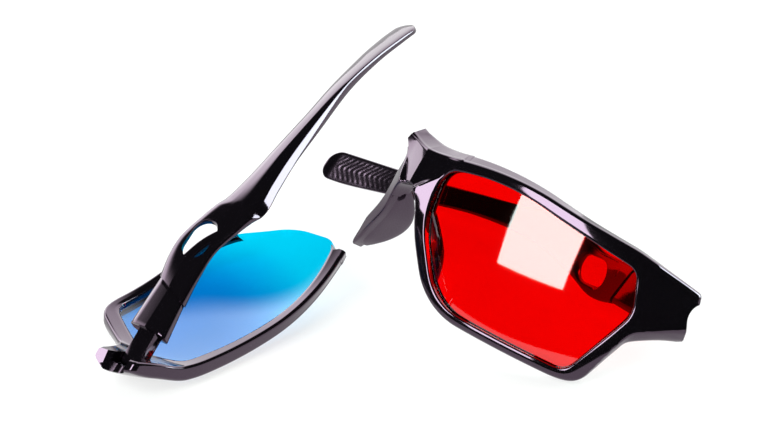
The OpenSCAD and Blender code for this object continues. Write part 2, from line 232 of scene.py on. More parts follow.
# Bearings from the lens middle, in radians, where rows lie closer or a form blends into the next
bearings = dict(
    archRows=(2.93, 3.15), ledgeRows=(2.45, 2.8), browIn=(0.34, 0.44), browOut=(0.75, 0.95),
    levelIn=(2.2, 2.3), levelOut=(2.85, 3.12), bridgeLift=(2.4, 2.68), legFade=(2.93, 3.3),
    ridge=(2.73, 2.79),
)
# Distances along the wrap or heights where a form of the face fades in, from none to all of it
fades = dict(
    bridgeBody=(8.5, 4), noseTilt=(13, 6), endTilt=(70, 80), facet=(63, 72),
    flatAlong=(9, 3), flatDown=(-17, -22),
)


# Reach of the outer edge at each angle: rim, endpiece and bridge together, smoothed where the brow runs into
# the endpiece, cut at the middle of the nose
def outerReach(angles, ledge, top, browHeight):
    rim = reach(lensLine + (rimOut + ledge * rimLedge / 2 - 0.2)[:, None] * lensOut, angles, True)
    whole = largerSoft(rim, reach(endLine, angles) - 0.08, 0.9)
    even = np.linspace(0, 2 * np.pi, 1440, endpoint=False)
    smooth = softened(np.interp(even, angles, whole, period=2 * np.pi), 11)
    smooth = np.interp(angles, even, smooth, period=2 * np.pi)
    brow = ramp(angles, *bearings["browIn"]) * (1 - ramp(angles, *bearings["browOut"]))
    whole = whole + brow * (smooth - whole)
    across, down = bridgeLine(top, browHeight)
    whole = largerSoft(whole, reach(down, angles), 1.2)
    crown = reach(across, angles)
    whole = np.where(crown > 0, crown, whole)
    middle = np.where(np.cos(angles) < -0.3, lensMiddle[0] / np.maximum(-np.cos(angles), 0.3), 1e3)
    return np.minimum(whole, middle), whole >= middle - 1e-9


# Rounded drop towards an edge: a quarter circle of the given size, deep as asked
def edgeDrop(distance, size, deep):
    t = np.clip(1 - distance / size, 0, 1)
    return deep * (1 - np.sqrt(np.maximum(1 - t * t, 0)))


# Nearest distance from every grid point to a set of line points
def nearest(points, line):
    flat = points.reshape(-1, 2)
    best = np.full(len(flat), 1e9)
    for part in np.array_split(line, max(1, len(line) // 60)):
        best = np.minimum(best, ((flat[:, None] - part[None]) ** 2).sum(-1).min(1))
    return np.sqrt(best).reshape(points.shape[:-1])


# Close points along an edge: four to each step, none between two points at the middle of the nose
def edgeLine(points, isOpen):
    after, kept = np.roll(points, -1, 0), ~(isOpen & np.roll(isOpen, -1))
    return np.vstack([(points + k / 4 * (after - points))[kept] for k in range(5)])


# Straight rise to 1 with its corner rounded over a small share
def softClip(x, soft):
    return np.where(np.abs(x - 1) < soft, 1 - (1 + soft - x) ** 2 / (4 * soft), np.minimum(x, 1))


# Half of the front as one closed skin around the lens: each angle has a loop of points that runs out over
# the front face, across the outer edge, in over the back face and down through the lens groove
def frontHalf():
    marks = [endTop[-1], endLow[-1], [0, front["bridgeTop"]], [0, front["bridgeBevel"]]]
    marks = [np.arctan2(*(np.array(m) - lensMiddle)[::-1]) for m in marks]
    even = np.linspace(-np.pi, np.pi, 480, endpoint=False)
    arch = np.linspace(*bearings["archRows"], 130)  # finer rows where the edge runs along the ray
    ledge = np.linspace(*bearings["ledgeRows"], 70)
    angles = np.sort((np.r_[even, arch, ledge] + np.pi) % (2 * np.pi) - np.pi)
    apart = 8e-4  # no two rows in one place
    clear = np.r_[True, np.diff(angles) > apart] & (np.abs(angles[:, None] - marks).min(1) > apart)
    angles = np.sort(np.r_[angles[clear], marks])
    corner, behind = marks[2], marks[3]
    beside = 1 - ramp(np.abs(angles - corner), 0, np.radians(16))
    backAngles = angles - (corner - behind) * beside  # both top corners of the bridge in one row
    inner, backInner = reach(lensLine, angles, True), reach(lensLine, backAngles, True)
    foreReach, foreOpen = outerReach(angles, -1, front["bridgeTop"], front["browFore"])
    backReach, backOpen = outerReach(backAngles, 1, front["bridgeBevel"], front["browBack"])
    crown = front["crownRise"] * ramp(np.cos(angles), -0.95, -0.75)
    ray, backRay = unit(angles), unit(backAngles)
    bearing = np.arctan2(*(lensLine - lensMiddle).T[::-1])
    order = np.argsort(bearing)
    lift = np.interp(angles, bearing[order], rimLift[order], period=2 * np.pi)
    level = ramp(angles, *bearings["levelIn"]) * (1 - ramp(angles, *bearings["levelOut"]))
    bridgeLift = front["noseLift"] * ramp(angles, *bearings["bridgeLift"])
    lift = lift + level * (bridgeLift - lift)  # level at the bridge
    lift = lift * (1 - 0.75 * ramp(angles % (2 * np.pi), *bearings["legFade"]))  # less down the nose leg
    foreEdge = edgeLine(lensMiddle + foreReach[:, None] * ray, foreOpen)
    backEdge = edgeLine(lensMiddle + backReach[:, None] * backRay, backOpen)
    near = 1 - np.cos(np.linspace(0, np.pi / 2, 10))
    across = np.r_[0.16 * near, np.linspace(0.16, 0.7, 14)[1:-1], 1 - 0.3 * near[::-1]]

    # front face
    far = inner[:, None] + across * (foreReach - inner)[:, None]
    flat = lensMiddle + far[..., None] * ray[:, None]
    width = (foreReach - inner)[:, None]
    out = across * width
    high, low = front["liftWidth"]
    ridge = ramp(angles[:, None] % (2 * np.pi) - front["liftSlant"] * out, *bearings["ridge"])
    liftWidth = high + (low - high) * ridge  # steeper below a slanting ridge
    deep = (edgeDrop(out, front["lipRound"], front["lipDrop"])
            + edgeDrop(nearest(flat, foreEdge), front["edgeRound"], front["edgeRound"])
            - lift[:, None] * softClip(out / liftWidth, front["liftCorner"])
            - crown[:, None] * 4 * across * (1 - across))
    lowEdge = foreEdge[(foreEdge[:, 0] > 60) & (foreEdge[:, 0] < endStop - 1.4) & (foreEdge[:, 1] < -14)]
    lowEdge = lowEdge[np.argsort(lowEdge[:, 0])]
    s, z, soft = flat[..., 0], flat[..., 1], front["facetRound"]
    facet = front["facetWidth"] * ramp(s, *fades["facet"]) - z + np.interp(s, *lowEdge.T)
    facet = np.where(np.abs(facet) < soft, (facet + soft) ** 2 / (4 * soft), np.maximum(facet, 0))
    flatter = ramp(np.abs(s - 65), *fades["flatAlong"]) * ramp(z, *fades["flatDown"])
    # endpiece and bridge lean back at their top
    deep = deep + front["endTilt"] * np.maximum(z + 10, -7) * ramp(s, *fades["endTilt"])
    deep = deep + front["noseTilt"] * np.maximum(z + 9, 0) * ramp(s, *fades["noseTilt"])
    deep = deep + front["cornerFlat"] * flatter  # flatter lower corner
    deep = deep + front["facetSlope"] * facet  # sloping lower edge
    faces = [onFront(s, z, deep)]
    foreDeep = deep[:, -1:]

    # back face, from the outer edge in to the lens
    far = backReach[:, None] - across * (backReach - backInner)[:, None]
    flat = lensMiddle + far[..., None] * backRay[:, None]
    s, z = flat[..., 0], flat[..., 1]
    body = front["rimDepth"] + (front["bridgeDepth"] - front["rimDepth"]) * ramp(s, *fades["bridgeBody"])
    rise = np.clip((s - endStart) / (pinStation - endStart), 0, 1)
    fall = np.clip((s - pinStation) / front["pinSetback"], 0, 1)
    body = body + (front["endDepth"] - front["rimDepth"]) * rise
    body = body + (front["lobeDepth"] - front["endDepth"]) * fall ** 2
    body = body - edgeDrop(nearest(flat, backEdge), front["backRound"], front["backDrop"])
    body = body - edgeDrop(far - backInner[:, None], front["seatRound"], front["seatDrop"])
    backDeep = body[:, :1]

    # outer edge, from front to back
    step = np.linspace(0, 1, 8)[1:-1]
    fore = lensMiddle + foreReach[:, None] * ray
    hind = lensMiddle + backReach[:, None] * backRay
    edge = fore[:, None] + step[:, None] * (hind - fore)[:, None]
    faces.append(onFront(edge[..., 0], edge[..., 1], foreDeep + step * (backDeep - foreDeep)))
    faces.append(onFront(s, z, body))

    # lens groove
    wide, back, fore = front["grooveDepth"], front["grooveBack"], front["grooveWall"]
    groove = np.array([[0, back], [wide, back], [wide, fore], [0, fore]])
    seat = lensMiddle + (backInner[:, None] + groove[:, 0])[..., None] * backRay[:, None]
    faces.append(onFront(seat[..., 0], seat[..., 1], np.broadcast_to(groove[:, 1], seat.shape[:2])))
    return np.concatenate(faces, 1)


# Grid of points to quads, joined around where asked
def gridFaces(rows, columns, closedRows, closedColumns):
    down, along = rows if closedRows else rows - 1, columns if closedColumns else columns - 1
    i, j = np.meshgrid(np.arange(down), np.arange(along), indexing="ij")
    k, m = (i + 1) % rows, (j + 1) % columns
    return np.stack([i * columns + j, i * columns + m, k * columns + m, k * columns + j], -1).reshape(-1, 4)


# Sum of the signed tetrahedra under every face, which is positive where faces point outwards
def signedVolume(points, faces):
    total = 0.0
    for quad in faces:
        p = points[quad]
        for k in range(1, quad.shape[1] - 1):
            total += np.einsum("ij,ij->i", p[:, 0], np.cross(p[:, k], p[:, k + 1])).sum()
    return total


# New object in the scene from points and rings of point numbers
def newPiece(name, points, loops):
    mesh = bpy.data.meshes.new(name)
    mesh.from_pydata(points, [], loops)
    mesh.update()
    piece = bpy.data.objects.new(name, mesh)
    bpy.context.scene.collection.objects.link(piece)
    return piece


# Piece from points and face lists, doubles joined, faces turned outwards
def makePiece(name, points, faces):
    points = np.asarray(points, float).reshape(-1, 3)
    if signedVolume(points, faces) < 0:
        faces = [quad[:, ::-1] for quad in faces]
    first, back = np.unique(np.round(points, 4), axis=0, return_index=True, return_inverse=True)[1:]
    loops = []
    for quad in faces:
        quad = back.reshape(-1)[quad]
        whole = (np.diff(np.sort(quad, 1), axis=1) > 0).all(1)
        loops += quad[whole].tolist()
        short = ([v for v, w in zip(row, np.roll(row, -1)) if v != w] for row in quad[~whole])
        loops += [ring for ring in short if len(ring) > 2]
    return newPiece(name, points[first].tolist(), loops)


# Join two pieces that meet at the middle of the nose: both lose their wall there, and the second one's points
# on the seam give way to the nearest of the first one's
def joinAtNose(name, parts):
    points, loops, seam = np.zeros((0, 3)), [], None
    for part in parts:
        flat = np.zeros(len(part.data.vertices) * 3)
        part.data.vertices.foreach_get("co", flat)
        flat = flat.reshape(-1, 3)
        close, onSeam = np.abs(flat[:, 0]) < 1e-3, np.zeros(len(flat), bool)
        rings = [list(face.vertices) for face in part.data.polygons]
        wall = [close[ring].all() for ring in rings]
        onSeam[np.concatenate([ring for ring, gone in zip(rings, wall) if gone])] = True
        flat[close, 0] = np.where(onSeam[close], 0, 0.02 * np.sign(flat[:, 0].mean()))  # others step aside
        index = len(points) + np.arange(len(flat))
        if seam is None:
            seam = index[onSeam]
        else:
            index[onSeam] = seam[((flat[onSeam][:, None] - points[seam]) ** 2).sum(-1).argmin(1)]
        loops += [index[ring] for ring, gone in zip(rings, wall) if not gone]
        points = np.vstack([points, flat])
        bpy.data.objects.remove(part)
    used, back = np.unique(np.concatenate(loops), return_inverse=True)
    stops = np.cumsum([len(ring) for ring in loops])[:-1]
    rings = [ring.tolist() for ring in np.split(back.reshape(-1), stops)]
    return newPiece(name, points[used].tolist(), rings)


# Closed skin over a row of loops: side quads, and the two end loops as flat caps
def makeSkin(name, rings):
    rows, columns = rings.shape[:2]
    sides = gridFaces(rows, columns, False, True)
    ends = np.stack([np.arange(columns)[::-1], (rows - 1) * columns + np.arange(columns)])
    return makePiece(name, rings, [sides, ends])


# Upright column over a flat outline
def makeColumn(name, outline, low, high):
    outline = np.asarray(outline, float)
    rings = np.stack([np.c_[outline, np.full(len(outline), z)] for z in (low, high)])
    return makeSkin(name, rings)


# Cut one piece by others, or join or keep what they share, break its sharp edges where asked, drop the tools
def carve(piece, tools, how="DIFFERENCE", edge=0):
    for tool in tools:
        cut = piece.modifiers.new("cut", "BOOLEAN")
        cut.operation, cut.object, cut.solver = how, tool, "MANIFOLD"
    if edge:
        ease = piece.modifiers.new("ease", "BEVEL")
        ease.width, ease.segments = edge, 2
        ease.limit_method, ease.angle_limit = "ANGLE", np.radians(40)
    bpy.context.view_layer.update()
    ready = bpy.data.meshes.new_from_object(piece.evaluated_get(bpy.context.evaluated_depsgraph_get()))
    old = piece.data
    piece.modifiers.clear()
    piece.data = ready
    bpy.data.meshes.remove(old)
    for tool in tools:
        bpy.data.objects.remove(tool)
    return piece


# Lay a piece on the table: mirror the cyan half, turn about x, y, z, move, millimetres to metres
def settle(piece, side, sharp=38.0):
    turn = np.radians(layout[side + "Turn"])
    aboutX, aboutY, aboutZ = (Matrix.Rotation(angle, 4, axis) for angle, axis in zip(turn, "XYZ"))
    spin = aboutZ @ aboutY @ aboutX
    flip = Matrix.Diagonal((1 if side == "red" else -1, 1, 1, 1))
    piece.data.transform(Matrix.Scale(0.001, 4) @ Matrix.Translation(layout[side + "Place"]) @ spin @ flip)
    if side == "cyan":
        piece.data.flip_normals()
    piece.data.polygons.foreach_set("use_smooth", np.ones(len(piece.data.polygons), bool))
    piece.data.set_sharp_from_angle(angle=np.radians(sharp))
    piece.data.update()
    return piece


# Turn about the hinge pin from the open to the folded place
def folded(points, side):
    f = np.radians(layout[side + "Fold"])
    x, y = points[..., 0], points[..., 1]
    outward, back = x * np.cos(f) - y * np.sin(f), x * np.sin(f) + y * np.cos(f)
    return np.stack([pinAt[0] + outward, pinAt[1] + back, points[..., 2]], -1)


# Fold the points of a finished piece
def foldPiece(piece, side):
    place = np.zeros(len(piece.data.vertices) * 3)
    piece.data.vertices.foreach_get("co", place)
    piece.data.vertices.foreach_set("co", folded(place.reshape(-1, 3), side).reshape(-1))


# Circle of points, as a flat outline
def circle(radius, middle=(0, 0), count=96):
    a = np.linspace(0, 2 * np.pi, count, endpoint=False)
    return np.asarray(middle) + radius * unit(a)


# Tools for the hinge slot, the pin's hole and the notch between the two lobes, which on the red half runs on
# as a straight end to the lower lobe
def hingeTools(colour):
    wall = front["tongueRadius"] + front["slotClearance"]
    half = front["tongueHeight"] / 2 + front["slotClearance"]
    lean = np.radians(-front["tongueLean"])
    a = np.linspace(-np.pi / 2, lean, 24)
    side, long = wall * unit(a), 30
    far = np.array([wall * np.cos(lean) - long * np.sin(lean), wall * np.sin(lean) + long * np.cos(lean)])
    slot = np.vstack([side, far, [-long, far[1]], [-long, -wall]])
    level, low, radius = front["hingeLevel"], front["lobeBottom"], front["notchRadius"]
    slotTool = makeColumn("slotTool", slot + pinAt, level - half, level + half)
    pinTop = level + half + front["pinSeat"]
    pinTool = makeColumn("pinTool", circle(front["pinRadius"], pinAt), level - 60, pinTop)
    notch = circle(radius, (endAt[1] + front["notchSetback"], level))
    if colour == "red":
        lobeEnd = [[endAt[1] - 2.6, level - 3.4], [endAt[1] + 0.3, low - 1], [endAt[1] + 20, low - 1]]
        notch = np.vstack([[endAt[1] + 20, level + radius], notch[24:50], lobeEnd])
    rings = np.stack([np.c_[np.full(len(notch), endAt[0] + x), notch] for x in (-15, 15)])
    tools = [slotTool, pinTool, makeSkin("notchTool", rings)]
    if colour == "cyan":
        a = np.interp(endStop, wrapRun, wrapTurn)
        along, deep = unit(a), np.array([-np.sin(a), np.cos(a)])
        # slanting end of the lower lobe
        bevel = np.array([[0.4, low - 1.5], [-2.2, low + 5.6], [12, low + 5.6], [12, low - 1.5]])
        rings = [np.c_[endAt + t * deep + bevel[:, :1] * along, bevel[:, 1]] for t in (-8, 9)]
        tools.append(makeSkin("bevelTool", np.stack(rings)))
    return tools


# The part of a rim that stays with the bridge, seen from the front
def breakTool(mirrored=False):
    brow = np.array([[9.4, 8], [9.2, 1.6], [10.1, -0.2], [8.7, -2], [9.3, -3.4], [8.2, -6]])
    low = np.array([[14, -22.8], [15.9, -25.4], [15.5, -27.4], [17, -29.2], [16.4, -36]])
    if mirrored:
        low = np.array([
            [9.4, -17], [11.6, -21.6], [13.1, -24.4], [14.4, -28.4],
            [16.2, -32.8], [16.6, -34.4], [15.8, -36]])
    shape = np.vstack([brow, low, [[0, -36], [-6, -12], [-6, 8]]]) * ((-1 if mirrored else 1), 1)
    rings = np.stack([np.c_[shape[:, 0], np.full(len(shape), y), shape[:, 1]] for y in (-60, 60)])
    return makeSkin("breakTool", rings)


# Nose pad: a leaning wing behind the nose leg, deepest at its middle, its section a rounded bar
pad = dict(start=3.03, stop=3.74, depth=7.2, wall=1.8, lean=0.09, sink=2.6)


def padRings(mirrored=False):
    t = np.linspace(0, 1, 60)
    angles = pad["start"] + (pad["stop"] - pad["start"]) * t
    edge = lensMiddle + reach(lensLine + rimOut[:, None] * lensOut, angles, True)[:, None] * unit(angles)
    run = np.gradient(edge, axis=0)
    run /= np.linalg.norm(run, axis=1, keepdims=True)
    out = np.stack([run[:, 1], -run[:, 0]], 1)
    back = pad["depth"] * np.sin(np.pi * (0.02 + 0.96 * t ** 0.95))
    ease = np.minimum(1, 1.5 * np.sqrt(np.sin(np.pi * (0.03 + 0.94 * t))))[:, None]  # narrow ends
    u = np.linspace(0, 2 * np.pi, 64, endpoint=False)
    thick = ease * pad["wall"] / 2 * (np.sign(np.cos(u)) * (1 - np.abs(np.sin(u)) ** 3.3) ** 0.3 - 1)
    along = 0.5 - 0.5 * np.sin(u)
    deep = front["rimDepth"] - pad["sink"] * ease + along * (back[:, None] + pad["sink"] * ease)
    push = thick + pad["lean"] * back[:, None] * along
    flat = edge[:, None] + push[..., None] * out[:, None]
    rings = onFront(flat[..., 0], flat[..., 1], deep)
    return rings * ((-1 if mirrored else 1), 1, 1)


def buildFronts():
    grid = frontHalf()
    rows, columns = grid.shape[:2]
    faces = [gridFaces(rows, columns, True, True)]
    cyan = carve(makePiece("cyanFront", grid, faces), hingeTools("cyan") + [breakTool()])
    leg = carve(makePiece("redLeg", grid * (-1, 1, 1), faces), [breakTool(True)], "INTERSECT")
    red = joinAtNose("redFront", [makePiece("redRim", grid, faces), leg])
    pads = [makeSkin("redPad" + str(k), padRings(bool(k))) for k in (0, 1)]
    red = carve(carve(red, pads, "UNION"), hingeTools("red"))
    return settle(red, "red"), settle(cyan, "cyan")


# Lens: polar sheets in front and behind, from the middle to the edge in the groove
lens = dict(front=1.2, thickness=1.5, edge=0.5)


def buildLens(side):
    angles = np.linspace(-np.pi, np.pi, 360, endpoint=False)
    rim = reach(lensLine, angles, True) + lens["edge"]
    f = np.linspace(0, 1, 44)
    flat = lensMiddle + (f * rim[:, None])[..., None] * unit(angles)[:, None]
    sheets = [onFront(p[..., 0], p[..., 1], np.full(p.shape[:2], d))
              for p, d in ((flat, lens["front"]), (flat[:, ::-1], lens["front"] + lens["thickness"]))]
    grid = np.concatenate(sheets, 1)
    piece = makePiece(side + "Lens", grid, [gridFaces(*grid.shape[:2], True, False)])
    return settle(piece, side)


# Smooth run through rows: cubic pieces whose slope at a row is half the step between its neighbours
def throughRows(rows, t):
    rows = np.asarray(rows, float)
    i = np.minimum(t.astype(int), len(rows) - 2)
    f = (t - i)[:, None]
    a, b, c, d = (rows[np.clip(i + k, 0, len(rows) - 1)] for k in (-1, 0, 1, 2))
    bend, twist = a - 2.5 * b + 2 * c - d / 2, 1.5 * (b - c) + (d - a) / 2
    return b + f * (c - a) / 2 + f ** 2 * bend + f ** 3 * twist


# Loops with softened corners: each becomes a parabola between points part of the way along its two sides
def softLoop(loops, part, steps=8):
    before, after = np.roll(loops, 1, 1), np.roll(loops, -1, 1)
    t = np.linspace(0, 1, steps)[:, None]
    a, b = loops + part[..., None] * (before - loops), loops + part[..., None] * (after - loops)
    bend = (1 - t) ** 2 * a[:, :, None] + 2 * t * (1 - t) * loops[:, :, None] + t ** 2 * b[:, :, None]
    return bend.reshape(len(loops), -1, 2)


# Temple arm: distance behind the pin, outward place, top edge, bottom edge, thickness
arm = dict(
    rows=[
        [20, 4.2, -7, -18.8, 4.2], [27, 5.3, -8, -20.4, 2.8], [34, 6, -8.5, -20.8, 2.2],
        [42, 6.3, -6.6, -19, 2.8], [50, 6, -5.2, -17, 4.4], [58, 5.4, -7.2, -16.4, 4.6],
        [68, 4.2, -9.6, -16.8, 4.2], [82, 1.4, -12.4, -18.6, 4],
        [96, -2.2, -15.3, -21.8, 3.2], [110, -7.3, -17.6, -25.3, 2.6], [120, -11.8, -19.1, -27.7, 2.4],
        [126, -14.6, -20, -28.6, 2.2], [129, -16, -20.5, -28.8, 2]],
    fore=[
        [0.1, 0.5], [-0.3, 0.5], [-0.5, 0.4], [-0.5, 0], [-0.5, -0.4], [-0.3, -0.5],
        [0.1, -0.5], [0.24, -0.46], [0.38, -0.36], [0.5, 0], [0.4, 0.36], [0.28, 0.46]],
    faceted=[
        [-0.36, 0.5], [-0.45, 0.5], [-0.5, 0.42], [-0.5, 0], [-0.5, -0.4], [-0.36, -0.5],
        [0, -0.5], [0.18, -0.42], [0.34, -0.24], [0.44, -0.04], [0.5, 0.12], [0.09, 0.39]],
    end=[
        [0.1, 0.5], [-0.36, 0.5], [-0.5, 0.42], [-0.5, 0], [-0.5, -0.4], [-0.36, -0.5],
        [-0.1, -0.5], [0.12, -0.42], [0.3, -0.24], [0.44, 0.05], [0.5, 0.34], [0.42, 0.47]],
    facetStart=45.5, facetFull=49.0, facetFade=66.0, facetStop=97.0, tipRound=3.4,
    ribStart=103.0, ribStop=126.0, ribPitch=1.5, ribDepth=0.07, ribHeight=0.34,
    slant=0.36, lean=0.3, leanStart=72.0, leanStop=108.0,
    holeLength=11.6, holeHeight=7.4, holeTilt=8.0, holePlace=35.0,
    tenonHeight=6.0, tenonWidth=1.6, tenonLength=4.0, seat=0.1,
)


# Loops of the arm: the section's shares times thickness and height at each row, the tip leaning outwards;
# behind the hole the upper corner is two flat facets, which fade into the ear's section
def armRings(rows, slant, part):
    rows = np.atleast_2d(rows)
    y = rows[:, 0, None, None]
    fore, faceted, end = (np.array(arm[key]) for key in ("fore", "faceted", "end"))
    start = ramp(y, arm["facetStart"], arm["facetFull"])
    fade = 1 - np.clip((y - arm["facetFade"]) / (arm["facetStop"] - arm["facetFade"]), 0, 1)
    loops = fore + start * (end + fade * (faceted - end) - fore)
    soft = np.full(loops.shape[:2], part)
    soft[:, [0, 10, 11]] += (0.12 - part) * (start * fade)[..., 0]
    soft[:, 9] += (0.05 - part) * (1 - start)[:, 0, 0]
    loop = softLoop(loops, soft)
    middle, height = (rows[:, 2] + rows[:, 3]) / 2, rows[:, 2] - rows[:, 3]
    lean = arm["lean"] * ramp(rows[:, 0], arm["leanStart"], arm["leanStop"])
    x = rows[:, 1, None] + loop[..., 0] * rows[:, 4, None] + lean[:, None] * loop[..., 1] * height[:, None]
    along = rows[:, :1] - np.reshape(slant, (-1, 1)) * loop[..., 1] * height[:, None]
    upward, start, stop = np.abs(loop[..., 1]), arm["ribStart"], arm["ribStop"]
    rib = 0.5 - 0.5 * np.sin(2 * np.pi * (along + 0.8 * upward * height[:, None]) / arm["ribPitch"])
    field = ramp(along, start, start + 2) * (1 - ramp(along, stop - 2, stop))
    field = field * ramp(upward, arm["ribHeight"] + 0.06, arm["ribHeight"]) * (loop[..., 0] < -0.4)
    x = x + arm["ribDepth"] * rib * field  # slanted grooves on the ear's inner side
    return np.stack([x, along, middle[:, None] + loop[..., 1] * height[:, None]], -1)


# Upright box between two corners
def boxTool(name, low, high):
    outline = [[low[0], low[1]], [high[0], low[1]], [high[0], high[1]], [low[0], high[1]]]
    return makeColumn(name, outline, low[2], high[2])


# Corners of the tenon that holds the arm on its block, around the middle of the arm's first row
def tenonCorners():
    first = arm["rows"][0]
    middle = (first[2] + first[3]) / 2
    low = np.array([first[1] - arm["tenonWidth"] / 2, first[0] - 1, middle - arm["tenonHeight"] / 2])
    return low, low + (arm["tenonWidth"], arm["tenonLength"] + 1, arm["tenonHeight"])


# Oval with straight sides, seen along the arm's thickness
def ovalLine(grow):
    half, r = (arm["holeLength"] - arm["holeHeight"]) / 2, arm["holeHeight"] / 2 + grow
    a = np.linspace(-np.pi / 2, np.pi / 2, 32)
    ends = [np.stack([k * (half + r * np.cos(a)), k * r * np.sin(a)], -1) for k in (1, -1)]
    return turned(np.vstack(ends), np.radians(-arm["holeTilt"]))


def buildTemple(side):
    last = len(arm["rows"]) - 1
    t = np.unique(np.r_[np.linspace(0, 8.4, 180), np.linspace(8.4, 11.7, 190), np.linspace(11.7, last, 30)])
    rows = throughRows(arm["rows"], t)
    intoTip = np.clip((rows[:, 0] - rows[-1, 0] + arm["tipRound"]) / arm["tipRound"], 0, 0.995)
    close = np.sqrt(1 - intoTip ** 2)  # round tip
    middle, half = (rows[:, 2] + rows[:, 3]) / 2, (rows[:, 2] - rows[:, 3]) / 2 * close
    rows[:, 2], rows[:, 3], rows[:, 4] = middle + half, middle - half, rows[:, 4] * np.sqrt(close)
    rings = armRings(rows, arm["slant"] * np.maximum(0, 1 - t / 2), 0.42)
    piece = makeSkin(side + "Temple", rings)
    hole = throughRows(arm["rows"], np.array([2.0]))[0]
    holeAt = np.array([arm["holePlace"], (hole[2] + hole[3]) / 2])
    flare = ((-30, 1.1), (4.4, 1.1), (5.6, 0.1), (6.8, 0), (7.7, 0.5), (30, 0.5))  # wider towards both faces
    ovals = [(x, ovalLine(grow) + holeAt) for x, grow in flare]
    tool = makeSkin("holeTool", np.stack([np.c_[np.full(len(oval), x), oval] for x, oval in ovals]))
    low, high = tenonCorners()
    socket = boxTool("socketTool", low - (arm["seat"], 0, arm["seat"]), high + arm["seat"])
    carve(piece, [tool, socket])
    place, facing = np.zeros((2, len(piece.data.vertices) * 3))
    piece.data.vertices.foreach_get("co", place)
    piece.data.vertices.foreach_get("normal", facing)
    y, start, stop = place[1::3], arm["ribStart"], arm["ribStop"]
    satin = ramp(y, start - 1, start + 1) * (1 - ramp(y, stop - 1, stop + 1)) * (facing[::3] < -0.4)
    piece.data.attributes.new("satin", "FLOAT", "POINT").data.foreach_set("value", satin)
    foldPiece(piece, side)
    return settle(piece, side)


# Hinge block: a short bar from the lobes to the arm, with the tongue for the pin and a tenon for the arm
block = dict(depth=4.8, step=0.4, bore=0.75, edge=0.16)


def buildBlock(side):
    first = np.array(arm["rows"][0], float)
    lobeBack = float(wrapped(np.array(endStop), front["lobeDepth"])[1])
    shoulder = lobeBack - pinAt[1] + 2 * front["slotClearance"]
    outer = endAt[0] - pinAt[0] - 0.3
    near = np.array([shoulder, outer - block["depth"] / 2,
                     front["lobeTop"] - 0.6, front["lobeBottom"] + 0.4, block["depth"]])
    back = first + block["step"] * np.array([0, 0, -1, 1, -2])
    t = np.linspace(0, 1, 12)[:, None]
    rings = armRings(near + t * (back - near), arm["slant"] * t[:, 0], 0.2)
    piece = makeSkin(side + "Block", rings)
    r = front["tongueRadius"]
    tip = r * unit(np.linspace(np.pi, 2 * np.pi, 40))
    outline = np.vstack([tip, [[r, shoulder + 2], [-r, shoulder + 2]]])
    outline = turned(outline, np.radians(-front["tongueLean"]))
    level, half = front["hingeLevel"], front["tongueHeight"] / 2
    tongue = makeColumn("tongue", outline, level - half, level + half)
    carve(piece, [tongue, boxTool("tenon", *tenonCorners())], "UNION")
    carve(piece, [makeColumn("boreTool", circle(block["bore"]), -40, 20)], edge=block["edge"])
    foldPiece(piece, side)
    return settle(piece, side)


# Wraps a socket so that sums on values add Math nodes
class Value:
    def __init__(self, tree, socket):
        self.tree, self.socket = tree, socket

    def add(self, kind, settings=None, **sockets):
        node = self.tree.nodes.new(kind)
        for key, setting in (settings or {}).items():
            setattr(node, key, setting)
        for key, value in sockets.items():
            into = node.inputs[int(key[1:]) if key[0] == "n" else key]
            if isinstance(value, Value):
                self.tree.links.new(value.socket, into)
            else:
                into.default_value = value
        return node

    def of(self, node, name=0):
        return Value(self.tree, node.outputs[name])

    def maths(self, how, *values):
        sockets = {"n" + str(k): v for k, v in enumerate(values)}
        return self.of(self.add("ShaderNodeMath", dict(operation=how), **sockets))

    def fade(self, low, high):
        settings = dict(interpolation_type="SMOOTHSTEP")
        return self.of(self.add("ShaderNodeMapRange", settings, Value=self, n1=low, n2=high))

    def noise(self, scale, detail):
        return self.of(self.add("ShaderNodeTexNoise", Vector=self, Scale=scale, Detail=detail), "Fac")

    def __add__(self, other):
        return self.maths("ADD", self, other)

    def __radd__(self, other):
        return self.maths("ADD", other, self)

    def __mul__(self, other):
        return self.maths("MULTIPLY", self, other)

    def __rmul__(self, other):
        return self.maths("MULTIPLY", other, self)


# New material with its tree emptied, and a first value to build from
def startMaterial(name):
    finish = bpy.data.materials.new(name)
    finish.use_nodes = True
    tree = finish.node_tree
    tree.nodes.clear()
    output = tree.nodes.new("ShaderNodeOutputMaterial")
    place = tree.nodes.new("ShaderNodeTexCoord")
    return finish, tree, output, Value(tree, place.outputs["Object"])


blackPlastic = dict(
    colour=(0.003, 0.0024, 0.0034, 1), sheen=(1, 0.72, 1, 1), rough=0.05, speck=2600.0, wave=240.0,
)


def makeBlackPlastic():
    finish, tree, output, place = startMaterial("glossyBlackPlastic")
    haze, speck = place.noise(blackPlastic["wave"], 4.0), place.noise(blackPlastic["speck"], 1.0)
    grip = place.add("ShaderNodeAttribute", dict(attribute_name="satin"))  # ribbed ear grips
    satin = place.of(grip, "Fac")
    rough = blackPlastic["rough"] + 0.05 * haze + 0.12 * satin
    bump = place.add("ShaderNodeBump", Strength=0.02, Distance=0.0001, Height=haze + 0.2 * speck)
    shader = place.add("ShaderNodeBsdfPrincipled", Roughness=rough, Normal=place.of(bump), IOR=1.75)
    shader.inputs["Base Color"].default_value = blackPlastic["colour"]
    shader.inputs["Specular Tint"].default_value = blackPlastic["sheen"]
    tree.links.new(shader.outputs[0], output.inputs[0])
    return finish


# Lens colours by height above the table: clear is the lens's own tint, deep is painted shade, which is full
# at low and gone by high
lensTintAndShade = dict(
    red=dict(clear=(0.98, 0.002, 0.006, 1), deep=(0.94, 0.001, 0.004, 1), low=0.0, high=0.012),
    cyan=dict(clear=(0.002, 0.81, 0.985, 1), deep=(0.001, 0.5, 0.85, 1), low=0.0035, high=0.0115),
)
